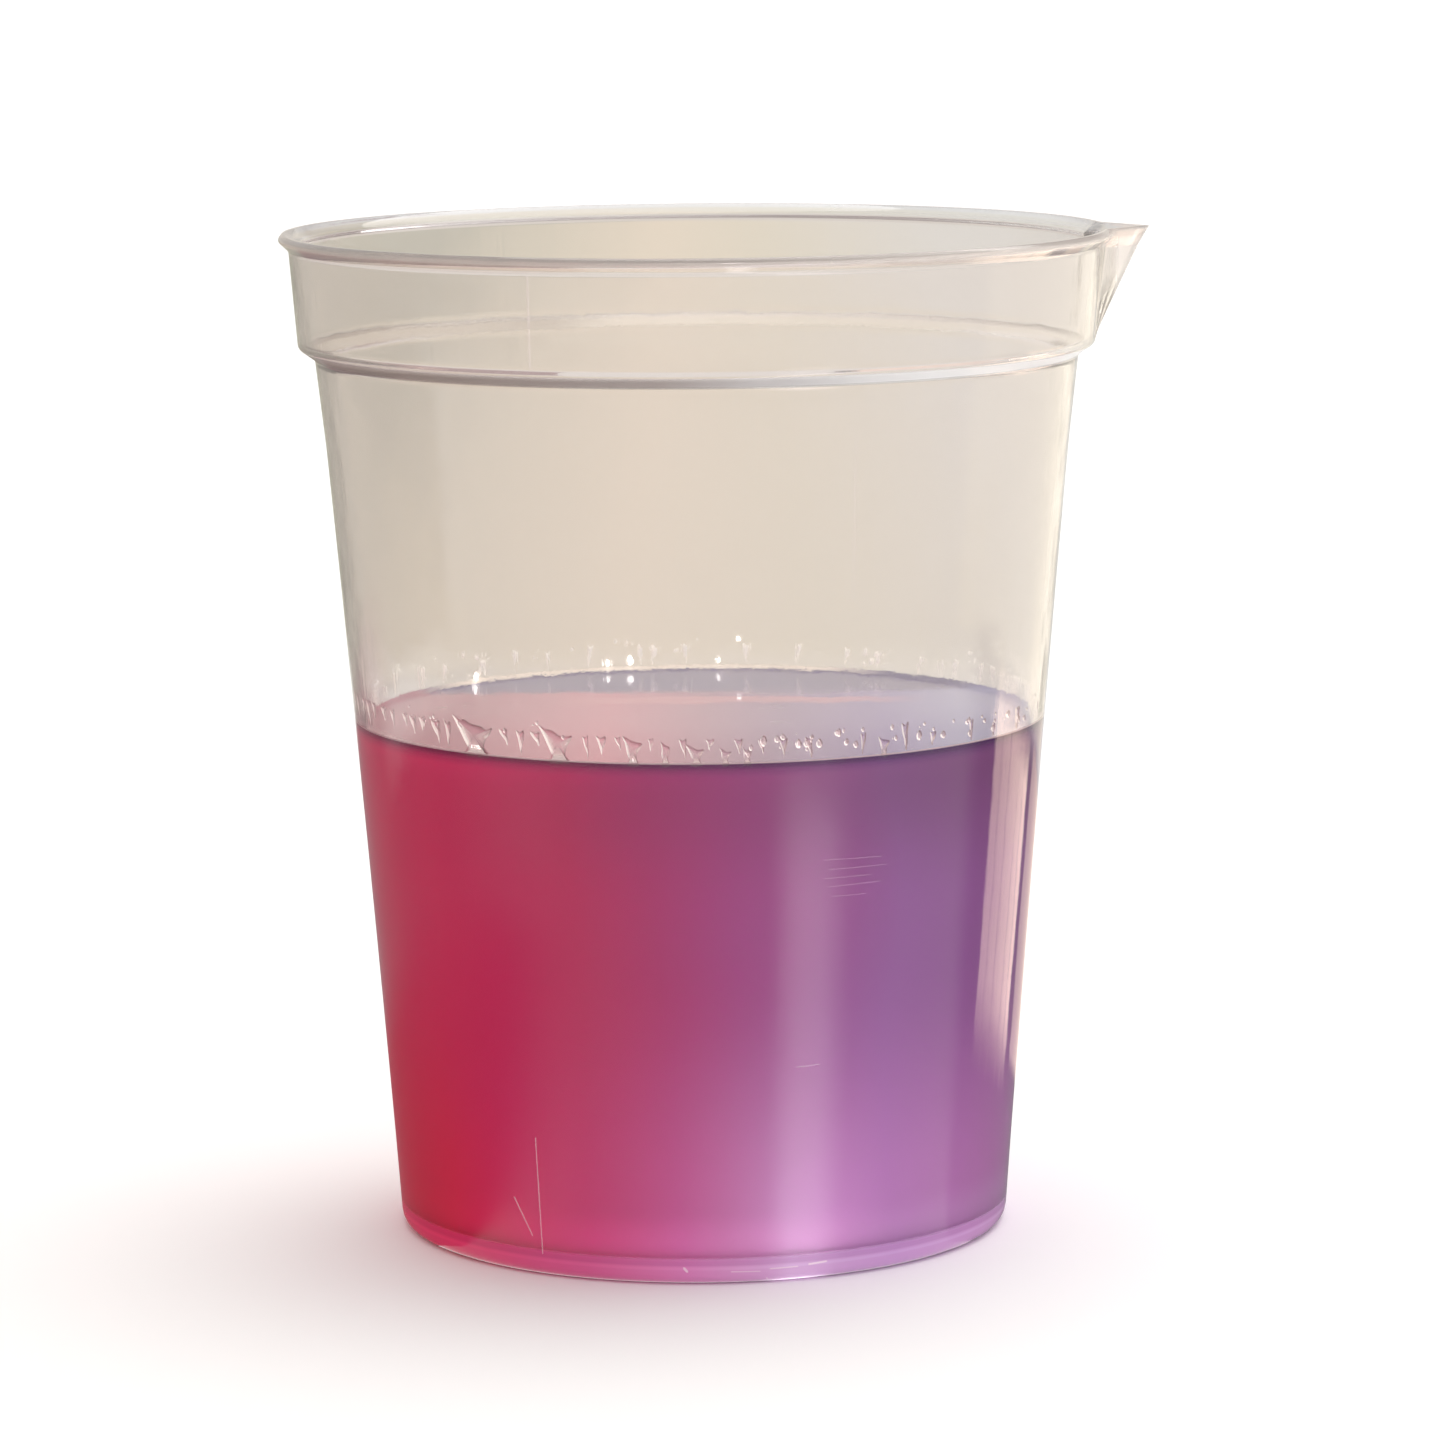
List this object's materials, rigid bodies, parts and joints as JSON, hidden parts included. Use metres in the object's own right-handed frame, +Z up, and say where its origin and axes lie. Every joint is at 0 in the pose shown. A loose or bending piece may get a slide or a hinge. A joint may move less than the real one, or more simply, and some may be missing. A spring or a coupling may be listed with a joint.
{
  "type": "fuel sampler cup",
  "caption": "Clear plastic beaker with a collar, rim flange and pouring spout, half full of dyed aviation fuel, for checking a drained fuel sample.",
  "frame": {"origin": "centre of the flat underside, on the cup's axis", "axes": "+Z up the cup's axis towards the rim, +X towards the pouring spout"},
  "size_m": [0.071, 0.068, 0.0822],
  "materials": {
    "clear_plastic": "clear, slightly warm and hazy moulded plastic, glossy, with fine scratches",
    "dyed_fuel": "still liquid, crimson shading to purple",
    "fuel_film": "thin wet film and droplets of the same fuel"
  },
  "bodies": {
    "root": {"cup": "clear_plastic", "fuel_sample": "dyed_fuel", "wall_film": "fuel_film"}
  },
  "joints": []
}
